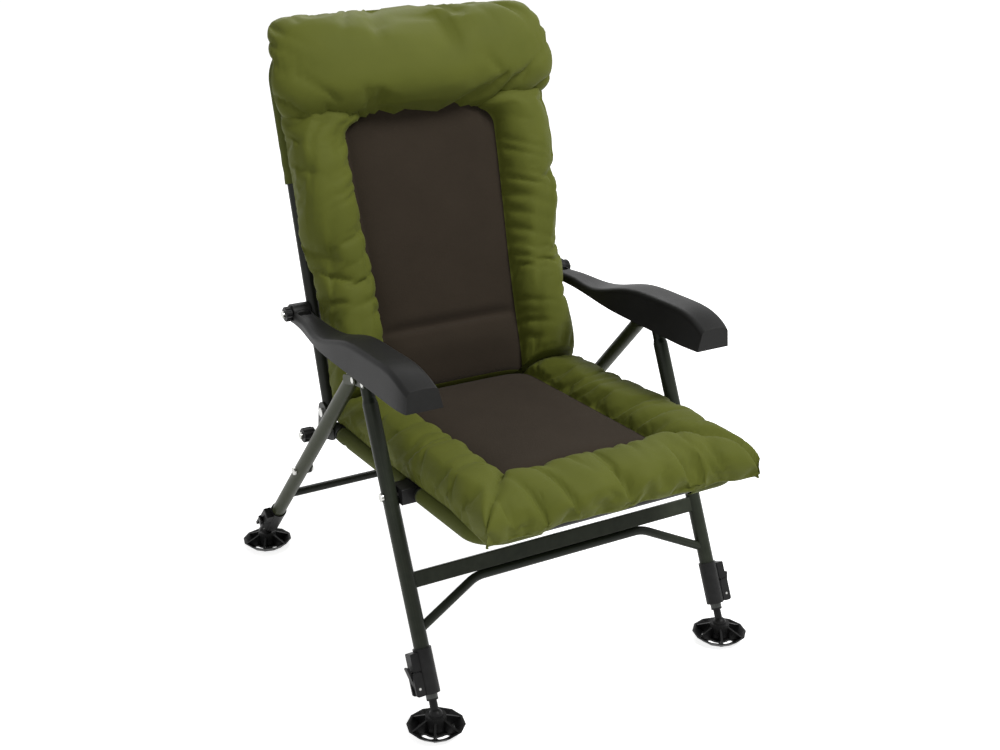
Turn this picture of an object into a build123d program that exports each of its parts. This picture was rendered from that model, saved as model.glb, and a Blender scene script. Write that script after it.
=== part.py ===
from build123d import *
import math
import os

# Folding camp chair with a padded back and seat, moulded armrests and adjustable legs.
# Millimetres. X runs to the sitter's left, Y to the back, Z up. Side-view places are written
# from the leg bolt under the armrest, and the finished pieces move so that the origin lies
# on the floor under the middle of the chair.

# Stance
leg_half_spacing = 278.0
leg_bolt_height = 512.0
leg_bolt_offset = 16.0
front_leg_lean = 24.55
rear_leg_lean = 43.3
foot_ball_height = 28.0

# Leg tubes
leg_radius = 12.5
leg_wall = 1.5
leg_swage_radius = 10.4
leg_swage_length = 8.0
leg_swage_drop = 42.0
front_leg_rise = 14.0
rear_leg_drop = 14.0
upper_bar_drop = 326.0
upper_bar_height = 25.0
upper_bar_depth = 12.0
lower_bar_drop = 405.0
lower_bar_radius = 7.5
lower_bar_bend_half = 161.0
lower_bar_bend_radius = 60.0
rear_bar_drop = 497.0

# Ears and bolts where the legs and armrests meet
ear_thickness = 2.0
bolt_ear_radius = 8.0
arm_ear_radius = 7.0
leg_bolt_radius = 3.0
leg_bolt_head = 1.2
leg_bolt_nut = 4.0
leg_bolt_head_radius = 5.0
arm_pin_offset = 14.0
arm_pin_drop = 10.0
arm_pin_play = 3.2

# Adjustable feet
inner_leg_radius = 9.5
inner_leg_wall = 1.5
inner_leg_length = 240.0
inner_leg_guide_length = 20.0
ball_radius = 11.5
neck_radius = 6.5
neck_length = 28.0
clamp_low = 36.0
clamp_length = 72.0
clamp_radius = 15.0
clamp_seat_length = 40.0
clamp_cheek_gap = 12.0
clamp_cheek = 4.0
clamp_cheek_length = 38.0
clamp_reach = 28.0
clamp_box_length = 29.0
cam_pin_rise = 12.0
cam_pin_reach = 20.5
cam_pin_radius = 2.0
cam_radius = 4.8
lever_length = 38.0
lever_thickness = 4.5
lever_tilt = 14.0
foot_radius = 47.0
foot_base_radius = 33.0
foot_height = 12.0
foot_wall = 3.5
foot_sides = 12
foot_ribs = 6
foot_socket_radius = 16.5
foot_socket_lip = 2.0
foot_swing = 15.5
foot_notch_steps = 3
foot_slot_radius = 25.0
foot_slot_width = 9.0
foot_slot_angle = 30.0

# Seat frame
frame_half_width = 234.0
frame_radius = 11.0
frame_wall = 1.5
seat_front_y = -310.0
seat_front_z = -157.0
seat_tilt = 2.2
rail_length = 524.0
seat_bend_radius = 45.0
seat_rear_tube_inset = 60.0
cross_tube_radius = 8.0
saddle_length = 38.0
saddle_cover = 2.3
seat_bolt_radius = 4.0
seat_bolt_head_radius = 7.0
seat_bolt_head = 3.5

# Back frame and its hinge to the seat
hinge_y = 237.0
hinge_z = -150.0
recline = 16.9
back_length = 632.0
back_tail = 14.0
back_bend_radius = 60.0
back_lower_tube_rise = 45.0
bracket_thickness = 3.0
bracket_hinge_radius = 18.0
bracket_lock_radius = 11.0
bracket_sleeve_wall = 2.3
bracket_sleeve_length = 30.0
hinge_pin_radius = 5.0
hinge_head_radius = 8.0
hinge_head = 4.0
lock_bolt_back = 13.0
lock_bolt_drop = 42.0
lock_bolt_radius = 4.0
lock_spacer_radius = 7.0
hook_thickness = 3.0
hook_tip_radius = 12.0
hook_boss_radius = 9.0
hook_bolt_drop = 385.0
hook_mouth_y = 0.705
hook_mouth_z = -0.709
hook_mouth_length = 48.0
hook_mouth_flare = 3.0

# Knobs
knob_radius = 13.0
knob_lobes = 8
knob_lobe_radius = 3.2
arm_knob_length = 12.0
lock_knob_length = 18.0
knob_cap_radius = 6.0
knob_cap_length = 4.5

# Armrests
arm_pivot_rise = 179.7
arm_reach = 484.0
arm_edge_z = 12.0
arm_inner_x = -50.0
arm_outer_x = 22.0
arm_boss_radius = 16.5
arm_boss_end_x = 276.0
arm_dip_height = 15.5
arm_crown_height = 53.5
arm_tip_height = 34.0
arm_wall = 3.0
arm_inner_slope = 15.0
arm_outer_slope = 3.0
arm_corner_radius = 9.0
arm_bolt_radius = 4.0
arm_bracket_thickness = 3.0
arm_bracket_length = 46.0
arm_bracket_radius = 9.0
arm_bracket_lead = 14.0
arm_bracket_gap = 10.0
arm_pad_height = 9.0

# Slings and padding
sling_thickness = 2.0
sling_gap = 0.3
back_sling_low = 400.0
saddle_cutout = 26.0
front_cutout_half = 140.0
pad_gap = 0.5
back_pad_half = 255.0
back_pad_low_half = 241.0
back_arm_clear = 230.0
pad_flare = 90.0
back_panel_half = 148.0
back_panel_low_half = 138.0
back_bolster_height = 80.0
back_panel_height = 44.0
back_seam_depth = 12.0
back_pad_top = 520.0
lumbar_seam = 108.0
lumbar_channel = 22.0
seat_pad_half = 250.0
seat_pad_rear_half = 242.0
seat_panel_half = 142.0
seat_bolster_height = 58.0
seat_panel_height = 36.0
seat_seam_depth = 9.0
seat_pad_overhang = 42.0
seat_roll_length = 128.0
pad_side_draw = 9.0
mitre_y = 182.0
mitre_z = -108.0
head_half = 268.0
head_low = 508.0
head_top = 694.0
head_height = 108.0
head_corner = 0.82

# Clearances
run_clearance = 0.05
face_clearance = 0.3
still_clearance = 0.02


def place(x, side_point):
    """Put a side-view point at a distance X from the chair's middle."""
    return Vector(x, side_point.Y, side_point.Z)


def meet(point, direction, other, other_direction):
    """Find where two side-view lines cross."""
    apart = other - point
    cross = direction.Y * other_direction.Z - direction.Z * other_direction.Y
    run = (apart.Y * other_direction.Z - apart.Z * other_direction.Y) / cross
    return point + direction * run


def side_vector(degrees):
    """Unit vector in side view that leans back from straight up by this angle."""
    angle = math.radians(degrees)
    return Vector(0, math.sin(angle), math.cos(angle))


def square_to(direction):
    """Turn a side-view direction a quarter turn, towards the back when it points up."""
    return Vector(0, direction.Z, -direction.Y)


# Side-view lines and pivots
front_up = side_vector(front_leg_lean)
front_rear = square_to(front_up)
rear_up = side_vector(-rear_leg_lean)
rear_rear = square_to(rear_up)
seat_up = side_vector(seat_tilt)
seat_rear = square_to(seat_up)
back_up = side_vector(recline)
back_front = square_to(back_up) * -1

leg_bolt = Vector(0, 0, leg_bolt_height)
front_top = leg_bolt - front_rear * leg_bolt_offset
rear_top = leg_bolt + rear_rear * leg_bolt_offset
front_ball = front_top - front_up * ((front_top.Z - foot_ball_height) / front_up.Z)
rear_ball = rear_top - rear_up * ((rear_top.Z - foot_ball_height) / rear_up.Z)
arm_pin = front_top - front_rear * arm_pin_offset - front_up * arm_pin_drop
seat_front = leg_bolt + Vector(0, seat_front_y, seat_front_z)
rail_end = seat_front + seat_rear * rail_length
seat_pivot = meet(front_top, front_up, seat_front, seat_rear)
hinge = leg_bolt + Vector(0, hinge_y, hinge_z)
arm_pivot = hinge + back_up * arm_pivot_rise
arm_edge = leg_bolt + Vector(0, 0, arm_edge_z)
lock_bolt = hinge + Vector(0, lock_bolt_back, -lock_bolt_drop)
hook_bolt = rear_top - rear_up * hook_bolt_drop

# Layers outward from the frame tubes to the legs
frame_outer_x = frame_half_width + frame_radius
frame_inner_x = frame_half_width - frame_radius
bracket_in = frame_outer_x + face_clearance
bracket_out = bracket_in + bracket_thickness
leg_inner_x = leg_half_spacing - leg_radius
leg_outer_x = leg_half_spacing + leg_radius
arm_inner = leg_half_spacing + arm_inner_x
arm_outer = leg_half_spacing + arm_outer_x
hook_out = leg_inner_x - 1.0
hook_in = hook_out - hook_thickness
front_ear_reach = leg_swage_radius + ear_thickness
rear_ear_in = max(front_ear_reach, leg_radius) + face_clearance
rear_ear_reach = rear_ear_in + ear_thickness
pad_base = frame_radius + sling_gap + sling_thickness + face_clearance

pieces = {}


def rod(start, end, radius):
    """Round bar between two points."""
    axis = end - start
    return extrude(Plane(start, z_dir=axis) * Circle(radius), axis.length)


def cross_rod(x_start, x_end, side_point, radius):
    """Round bar along X through a side-view point."""
    return rod(place(x_start, side_point), place(x_end, side_point), radius)


def bent_tube(points, radius, wall, bend):
    """Tube along straight runs joined by bends."""
    path = FilletPolyline(*points, radius=bend)
    ring = Circle(radius) - Circle(radius - wall)
    return sweep(Plane(path @ 0, x_dir=(0.6, 0.6, 0.53), z_dir=path % 0) * ring, path=path)


def plate(circles, x_start, x_end):
    """Flat plate square to X, stretched round circles given as (side point, radius)."""
    lobes = Sketch() + [Pos(spot.Y, spot.Z) * Circle(radius) for spot, radius in circles]
    outline = make_hull(lobes.edges())
    layer = Plane((x_start, 0, 0), x_dir=(0, 1, 0), z_dir=(1, 0, 0))
    return extrude(layer * outline, x_end - x_start)


def revolved(start, direction, profile):
    """Turn a profile of (radius, run) points about an axis from start."""
    outline = make_face(Polyline(*[(radius, 0, run) for radius, run in profile], close=True))
    turned = revolve(outline, Axis.Z)
    return Plane(start, x_dir=(1, 0, 0), z_dir=direction).location * turned


def mirrored(piece):
    """The same piece on the other side of the chair."""
    return mirror(piece, about=Plane.YZ)


def keep(name, piece):
    """Store one piece under its name."""
    pieces[name] = piece


def keep_pair(name, piece):
    """Store a left piece and its mirrored right piece."""
    keep(name + "_left", piece)
    keep(name + "_right", mirrored(piece))


def keep_group(name, members):
    """Store fasteners of one kind, on both sides, as separate solids under one name."""
    keep(name, Compound(children=members + [mirrored(member) for member in members]))


def seat_frame_pieces():
    """U-shaped seat tube, its rear cross tube and the saddles that hold the front legs."""
    rail_points = [place(frame_half_width, rail_end), place(frame_half_width, seat_front),
                   place(-frame_half_width, seat_front), place(-frame_half_width, rail_end)]
    frame = bent_tube(rail_points, frame_radius, frame_wall, seat_bend_radius)
    bolt_hole = cross_rod(-leg_half_spacing, leg_half_spacing, seat_pivot,
                          seat_bolt_radius + still_clearance)
    rear_tube_at = rail_end - seat_rear * seat_rear_tube_inset
    rail = rod(place(frame_half_width, rail_end), place(frame_half_width, seat_front), frame_radius)
    rear_tube = cross_rod(-frame_half_width, frame_half_width, rear_tube_at, cross_tube_radius)
    rear_tube -= cross_rod(-frame_half_width, frame_half_width, rear_tube_at,
                           cross_tube_radius - frame_wall)
    keep("seat_frame", frame - bolt_hole + (rear_tube - rail - mirrored(rail)))

    saddle_reach = leg_inner_x - face_clearance - frame_half_width
    saddle_at = Plane(place(frame_half_width + saddle_reach / 2, seat_pivot),
                      x_dir=(1, 0, 0), z_dir=seat_up)
    block = Box(saddle_reach, saddle_length, 2 * (frame_radius + saddle_cover))
    block = fillet(block.edges().filter_by(Axis.X), saddle_cover)
    seated_rail = rod(place(frame_half_width, rail_end), place(frame_half_width, seat_front),
                      frame_radius + still_clearance)
    saddle = saddle_at.location * block - seated_rail - bolt_hole
    keep_pair("rail_saddle", saddle)

    shank = cross_rod(frame_inner_x - seat_bolt_head, leg_outer_x + seat_bolt_head, seat_pivot,
                      seat_bolt_radius)
    head = cross_rod(leg_outer_x, leg_outer_x + seat_bolt_head, seat_pivot, seat_bolt_head_radius)
    nut = cross_rod(frame_inner_x - 2 * seat_bolt_head, frame_inner_x, seat_pivot,
                    seat_bolt_head_radius)
    keep_group("seat_pivot_bolts", [shank + head + nut])


def hinge_pieces():
    """Brackets on the rail ends, hinge pins, lock bolts and their knobs."""
    sleeve_start = rail_end - seat_rear * bracket_sleeve_length
    sleeve_radius = frame_radius + bracket_sleeve_wall
    outer = plate([(hinge, bracket_hinge_radius), (lock_bolt, bracket_lock_radius),
                   (rail_end - seat_rear * bracket_lock_radius, sleeve_radius)],
                  bracket_in, bracket_out)
    inner_out = frame_inner_x - face_clearance
    inner = plate([(hinge, sleeve_radius), (rail_end - seat_rear * bracket_lock_radius, sleeve_radius)],
                  inner_out - bracket_thickness, inner_out)
    sleeve = rod(place(frame_half_width, sleeve_start), place(frame_half_width, rail_end),
                 sleeve_radius)
    rail_bore = rod(place(frame_half_width, sleeve_start), place(frame_half_width, rail_end),
                    frame_radius + still_clearance)
    pin_hole = cross_rod(0, leg_half_spacing, hinge, hinge_pin_radius + still_clearance)
    lock_hole = cross_rod(0, leg_half_spacing, lock_bolt, lock_bolt_radius + still_clearance)
    keep_pair("hinge_bracket", outer + inner + sleeve - rail_bore - pin_hole - lock_hole)

    inner_face = inner_out - bracket_thickness
    pin = cross_rod(inner_face - hinge_head, bracket_out + hinge_head, hinge, hinge_pin_radius)
    pin += cross_rod(bracket_out, bracket_out + hinge_head, hinge, hinge_head_radius)
    pin += cross_rod(inner_face - hinge_head, inner_face, hinge, hinge_head_radius)
    keep_group("hinge_pins", [pin])

    spacer_end = hook_in - face_clearance
    knob_start = hook_out + face_clearance
    cap_start = knob_start + lock_knob_length + face_clearance
    stud = cross_rod(bracket_in - hinge_head, cap_start + knob_cap_length, lock_bolt,
                     lock_bolt_radius)
    stud += cross_rod(bracket_in - hinge_head, bracket_in, lock_bolt, lock_spacer_radius)
    stud += cross_rod(bracket_out, spacer_end, lock_bolt, lock_spacer_radius)
    stud += cross_rod(cap_start, cap_start + knob_cap_length, lock_bolt, knob_cap_radius)
    keep_group("lock_bolts", [stud])
    keep_pair("lock_knob", knob(lock_bolt, knob_start, lock_knob_length, lock_bolt_radius))


def knob(centre, x_start, length, bore_radius):
    """Lobed hand knob that turns on a stud along X."""
    body = cross_rod(x_start, x_start + length, centre, knob_radius)
    body = fillet(body.edges(), knob_lobe_radius / 2)
    for lobe in range(knob_lobes):
        angle = 2 * math.pi * lobe / knob_lobes
        notch = centre + Vector(0, math.cos(angle), math.sin(angle)) * (knob_radius + knob_lobe_radius / 2)
        body -= cross_rod(x_start, x_start + length, notch, knob_lobe_radius)
    return body - cross_rod(x_start, x_start + length, centre, bore_radius + run_clearance)


def back_frame_pieces():
    """Back tube with its lower cross tube and the bolts that carry the armrests."""
    foot = hinge - back_up * back_tail
    top = hinge + back_up * back_length
    points = [place(frame_half_width, foot), place(frame_half_width, top),
              place(-frame_half_width, top), place(-frame_half_width, foot)]
    frame = bent_tube(points, frame_radius, frame_wall, back_bend_radius)
    frame -= cross_rod(-leg_half_spacing, leg_half_spacing, hinge, hinge_pin_radius + run_clearance)
    frame -= cross_rod(-leg_half_spacing, leg_half_spacing, arm_pivot, arm_bolt_radius + still_clearance)
    keep("back_frame", frame)

    level = hinge + back_up * back_lower_tube_rise
    tube = rod(place(frame_half_width, foot), place(frame_half_width, top), frame_radius + still_clearance)
    lower = cross_rod(-frame_half_width, frame_half_width, level, cross_tube_radius)
    lower -= cross_rod(-frame_half_width, frame_half_width, level, cross_tube_radius - frame_wall)
    keep("back_lower_tube", lower - tube - mirrored(tube))

    knob_start = arm_boss_end_x + face_clearance
    cap_start = knob_start + arm_knob_length + face_clearance
    stud = cross_rod(frame_inner_x - 2 * hinge_head, cap_start + knob_cap_length, arm_pivot, arm_bolt_radius)
    stud += cross_rod(frame_inner_x - 2 * hinge_head, frame_inner_x, arm_pivot, knob_cap_radius)
    stud += cross_rod(cap_start, cap_start + knob_cap_length, arm_pivot, knob_cap_radius)
    keep_group("arm_bolts", [stud])
    keep_pair("arm_knob", knob(arm_pivot, knob_start, arm_knob_length, arm_bolt_radius))


def arm_section(y, inner_low, inner_high, outer_high, outer_low, low_z, high_z):
    """Outline of the armrest across its length: sloped sides and a softly rounded top."""
    corner = arm_corner_radius
    bend = corner * (1 - math.sqrt(0.5))
    middle = (inner_high + outer_high) / 2
    spots = [Vector(x, y, z) for x, z in (
        (inner_low, low_z), (inner_high, high_z - corner), (inner_high + bend, high_z - bend),
        (inner_high + corner, high_z), (middle, high_z + 1.5), (outer_high - corner, high_z),
        (outer_high - bend, high_z - bend), (outer_high, high_z - corner), (outer_low, low_z))]
    edges = [Line(spots[0], spots[1]), ThreePointArc(*spots[1:4]), ThreePointArc(*spots[3:6]),
             ThreePointArc(*spots[5:8]), Line(spots[7], spots[8]), Line(spots[8], spots[0])]
    return make_face(edges)


def arm_form(inset, rear_trim, front_trim, depth):
    """Armrest form from its pivot to its tip, drawn in by a wall and carried down by a depth."""
    neck_x = bracket_in
    stations = (
        (0.0, 0.0, 0.0, arm_boss_radius - 1.0),
        (0.13, 0.0, 0.35, arm_dip_height + 1.0),
        (0.25, 0.2, 0.7, arm_dip_height),
        (0.37, 0.62, 0.95, arm_dip_height + 7.0),
        (0.49, 0.95, 1.0, 0.74 * arm_crown_height),
        (0.63, 1.0, 1.0, 0.95 * arm_crown_height),
        (0.79, 1.0, 1.0, arm_crown_height),
        (0.91, 1.0, 1.0, 0.94 * arm_crown_height),
        (1.0, 0.7, 0.8, arm_tip_height),
    )
    sections = []
    last = len(stations) - 1
    for count, (run, inner_share, outer_share, height) in enumerate(stations):
        trim = rear_trim if count == 0 else -front_trim if count == last else 0.0
        y = arm_pivot.Y - arm_reach * run - trim
        low_z = arm_edge.Z if count else arm_pivot.Z - arm_boss_radius + 1.0
        high_z = (arm_edge.Z if count else arm_pivot.Z) + height - inset
        inner = neck_x + (arm_inner - neck_x) * inner_share + inset
        outer = arm_boss_end_x + (arm_outer - arm_boss_end_x) * outer_share - inset
        rise = min(1.0, height / arm_crown_height)
        inner_high = inner + arm_inner_slope * rise * inner_share
        outer_high = outer - arm_outer_slope * rise
        sections.append(arm_section(y, inner, inner_high, outer_high, outer, low_z - depth, high_z))
    return loft(sections)


def armrest_pieces():
    """Moulded armrest shells, open below, with the steel brackets that reach the leg pins."""
    boss = cross_rod(bracket_in, arm_boss_end_x, arm_pivot, arm_boss_radius)
    cavity_start = arm_boss_radius + arm_wall
    shell = arm_form(0.0, 0.0, 0.0, 0.0)
    cavity = arm_form(arm_wall, cavity_start, arm_wall, arm_edge.Z / 4)

    ceiling = arm_edge.Z + arm_crown_height - arm_wall
    flange_z = ceiling - arm_pad_height
    cheek_out = leg_half_spacing - front_ear_reach - arm_bracket_thickness
    cheek_in = cheek_out - arm_bracket_thickness
    flange_rear = arm_pin.Y - arm_bracket_lead
    flange_middle = flange_rear - arm_bracket_length / 2
    flange_width = 2 * leg_radius
    pad = Pos((cheek_in + flange_width / 2, flange_middle, flange_z + arm_pad_height)) * Box(
        flange_width + arm_wall, arm_bracket_length + arm_wall, 2 * arm_pad_height)
    pad = pad & shell
    bolt_bore = cross_rod(0, leg_half_spacing, arm_pivot, arm_bolt_radius + run_clearance)
    knob_recess = cross_rod(arm_boss_end_x, arm_outer, arm_pivot, knob_radius + arm_wall)
    tube_room = cross_rod(0, bracket_in, arm_pivot, 3 * arm_boss_radius)
    keep_pair("armrest", shell - cavity + boss + pad - bolt_bore - knob_recess - tube_room)

    flange = Pos((cheek_in + flange_width / 2, flange_middle, flange_z - arm_bracket_thickness / 2)) * Box(
        flange_width, arm_bracket_length, arm_bracket_thickness)
    corner = arm_bracket_thickness
    high = flange_z - arm_bracket_thickness - corner
    cheek = plate([(arm_pin, arm_bracket_radius), (Vector(0, flange_rear - corner, high), corner),
                   (Vector(0, flange_rear - arm_bracket_length + corner, high), corner)],
                  cheek_in, cheek_out)
    web = Pos(((cheek_in + cheek_out) / 2, flange_middle, high)) * Box(
        arm_bracket_thickness, arm_bracket_length, 2 * corner + arm_bracket_thickness)
    pin_hole = cross_rod(cheek_in, cheek_out, arm_pin, leg_bolt_radius + arm_pin_play)
    keep_pair("arm_bracket", flange + web + cheek - pin_hole)


def outer_leg(top, up, ball, swaged):
    """Leg tube from its clamp to its top, stepped down to a smaller end where it is swaged."""
    seat = ball + up * (clamp_low + clamp_length - clamp_seat_length)
    length = (top - seat).length
    bore = leg_radius - leg_wall
    if not swaged:
        end = length - rear_leg_drop
        profile = [(leg_radius, 0), (leg_radius, end), (bore, end), (bore, 0)]
    else:
        swage = length - leg_swage_drop
        end = length + front_leg_rise
        neck = leg_swage_radius - leg_wall
        profile = [(leg_radius, 0), (leg_radius, swage), (leg_swage_radius, swage + leg_swage_length),
                   (leg_swage_radius, end), (neck, end), (neck, swage + leg_swage_length),
                   (bore, swage), (bore, 0)]
    return revolved(place(leg_half_spacing, seat), up, profile)


def leg_clamp(ball, up):
    """Clamp sleeve on the leg's end, with a slotted housing for the cam lever on its outer side."""
    start = ball + up * clamp_low
    seat_start = clamp_length - clamp_seat_length
    sleeve = revolved(place(leg_half_spacing, start), up,
                      [(clamp_radius, 0), (clamp_radius, clamp_length),
                       (leg_radius + still_clearance, clamp_length),
                       (leg_radius + still_clearance, seat_start),
                       (inner_leg_radius + run_clearance, seat_start),
                       (inner_leg_radius + run_clearance, 0)])
    frame = Plane(place(leg_half_spacing, start), x_dir=(1, 0, 0), z_dir=up).location
    housing = clamp_cheek_gap + 2 * clamp_cheek
    wall_x = leg_radius + still_clearance
    box_middle = clamp_length - clamp_box_length / 2 - clamp_cheek
    box = Pos((clamp_reach - clamp_cheek / 2 + wall_x) / 2, 0, box_middle) * Box(
        clamp_reach - clamp_cheek / 2 - wall_x, housing, clamp_box_length)
    box = fillet(box.edges().filter_by(Axis.Y), clamp_cheek / 2)
    cheeks = Pos((clamp_reach + wall_x) / 2, 0, clamp_cheek_length / 2) * Box(
        clamp_reach - wall_x, housing, clamp_cheek_length)
    cheeks = fillet(cheeks.edges().filter_by(Axis.Y), clamp_cheek)
    bore = Cylinder(wall_x, 3 * clamp_length)
    gap = Pos(clamp_radius + clamp_reach / 2, 0, clamp_cheek_length / 2) * Box(
        clamp_reach, clamp_cheek_gap, 2 * clamp_cheek_length)
    pin_hole = Pos(cam_pin_reach, 0, cam_pin_rise) * Rot(90, 0, 0) * Cylinder(
        cam_pin_radius + still_clearance, 2 * housing)
    gap = gap & Pos(0, 0, clamp_cheek_length / 2) * Box(4 * clamp_reach, clamp_cheek_gap, clamp_cheek_length)
    body = frame * (box + cheeks - bore - gap - pin_hole)
    return sleeve + body - frame * gap


def cam_lever(ball, up):
    """Cam lever between the clamp's cheeks, with its tip standing a little open."""
    start = ball + up * clamp_low
    frame = Plane(place(leg_half_spacing, start), x_dir=(1, 0, 0), z_dir=up).location
    width = clamp_cheek_gap - 2 * face_clearance
    cam = Rot(90, 0, 0) * Cylinder(cam_radius, width)
    blade = Pos(cam_radius - lever_thickness / 2, 0, lever_length / 2) * Box(
        lever_thickness, width, lever_length)
    blade = fillet(blade.edges().filter_by(Axis.Y).group_by(Axis.Z)[-1], lever_thickness / 2.2)
    lever = cam + blade - Rot(90, 0, 0) * Cylinder(cam_pin_radius + run_clearance, 2 * width)
    return frame * Pos(cam_pin_reach, 0, cam_pin_rise) * Rot(0, lever_tilt, 0) * lever


def cam_pin(ball, up):
    """Pin that the cam lever turns on."""
    start = ball + up * clamp_low
    frame = Plane(place(leg_half_spacing, start), x_dir=(1, 0, 0), z_dir=up).location
    length = clamp_cheek_gap + 2 * clamp_cheek
    return frame * Pos(cam_pin_reach, 0, cam_pin_rise) * Rot(90, 0, 0) * Cylinder(cam_pin_radius, length)


def inner_leg(ball, up):
    """Sliding inner tube, with a guide at its top that runs in the leg."""
    start = place(leg_half_spacing, ball + up * neck_length)
    bore = inner_leg_radius - inner_leg_wall
    guide = leg_radius - leg_wall - run_clearance
    guide_start = inner_leg_length - inner_leg_guide_length
    return revolved(start, up, [(inner_leg_radius, 0), (inner_leg_radius, guide_start), (guide, guide_start),
                                (guide, inner_leg_length), (bore, inner_leg_length), (bore, 0)])


def ball_plug(ball, up):
    """Ball and neck that plug the inner leg's lower end."""
    centre = place(leg_half_spacing, ball)
    plug_end = neck_length + inner_leg_guide_length
    neck = rod(centre, centre + up * neck_length, neck_radius)
    plug = rod(centre + up * neck_length, centre + up * plug_end,
               inner_leg_radius - inner_leg_wall - still_clearance)
    collar = rod(centre + up * (neck_length - 3.0), centre + up * neck_length, inner_leg_radius)
    return Pos(centre) * Sphere(ball_radius) + neck + collar + plug


def polygon_prism(low_radius, high_radius, low_z, high_z):
    """Straight-sided dish form between two regular outlines."""
    low = Pos(0, 0, low_z) * RegularPolygon(low_radius, foot_sides)
    high = Pos(0, 0, high_z) * RegularPolygon(high_radius, foot_sides)
    return loft([low, high], ruled=True)


def foot(ball, up):
    """Dished mud foot with ribs, arc slots and a ball socket, notched for the neck as the foot tilts."""
    dish = polygon_prism(foot_base_radius, foot_radius, 0, foot_height)
    dish -= polygon_prism(foot_base_radius - foot_wall / 2, foot_radius - foot_wall / 2, foot_wall,
                          foot_height + foot_wall / 4)
    socket_top = foot_ball_height + foot_socket_lip
    rib_outline = Polyline((0, 0, 0), (foot_base_radius, 0, 0), (foot_radius - foot_wall, 0, foot_height - 1.0),
                           (foot_socket_radius, 0, 2 * foot_height), (0, 0, 2 * foot_height), close=True)
    rib = extrude(make_face(rib_outline), foot_wall / 2, both=True)
    slot_turn = 180.0 / foot_ribs
    slot_line = CenterArc((0, 0), foot_slot_radius, -foot_slot_angle / 2, foot_slot_angle)
    slot_bow = SlotArc(slot_line, foot_slot_width)
    slot = extrude(slot_bow, 2 * foot_height)
    body = dish
    for count in range(foot_ribs):
        body += Rot(0, 0, 360.0 * count / foot_ribs) * rib
    for count in range(foot_ribs):
        body -= Rot(0, 0, 360.0 * count / foot_ribs + slot_turn) * slot
    body += Cylinder(foot_socket_radius, socket_top, align=(Align.CENTER, Align.CENTER, Align.MIN))
    centre = Vector(0, 0, foot_ball_height)
    body -= Pos(centre) * Sphere(ball_radius + run_clearance)
    for step in range(foot_notch_steps + 1):
        leaning = up.rotate(Axis.X, foot_swing * step / foot_notch_steps)
        body -= rod(centre, centre + leaning * neck_length, neck_radius + face_clearance)
    return Pos(leg_half_spacing, ball.Y, 0) * body


def leg_set(name, top, up, ball, swaged):
    """One pair of legs with clamps, cam levers, inner legs and feet. Returns the left leg tube."""
    keep_pair(name + "_clamp", leg_clamp(ball, up))
    keep_pair(name + "_cam_lever", cam_lever(ball, up))
    keep_group(name + "_cam_pins", [cam_pin(ball, up)])
    keep_pair(name + "_inner_leg", inner_leg(ball, up))
    keep_pair(name + "_ball_plug", ball_plug(ball, up))
    keep_pair(name + "_foot", foot(ball, up))
    return outer_leg(top, up, ball, swaged)


def ears(circles, weld_spot, reach_in, reach_out, tube, hole_points):
    """Two ear plates, one each side of a leg, with bolt holes and a weld pad that fits the tube."""
    members = []
    weld_depth = 2 * ear_thickness
    for side in (1, -1):
        inner = leg_half_spacing + side * reach_in
        outer = leg_half_spacing + side * reach_out
        ear = plate(circles, min(inner, outer), max(inner, outer))
        weld = sorted((inner, inner - side * weld_depth))
        ear += plate([(weld_spot, bolt_ear_radius - ear_thickness)], weld[0], weld[1]) - tube
        for spot in hole_points:
            ear -= cross_rod(0, 2 * leg_half_spacing, spot, leg_bolt_radius + run_clearance)
        members.append(ear)
    return members


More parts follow.
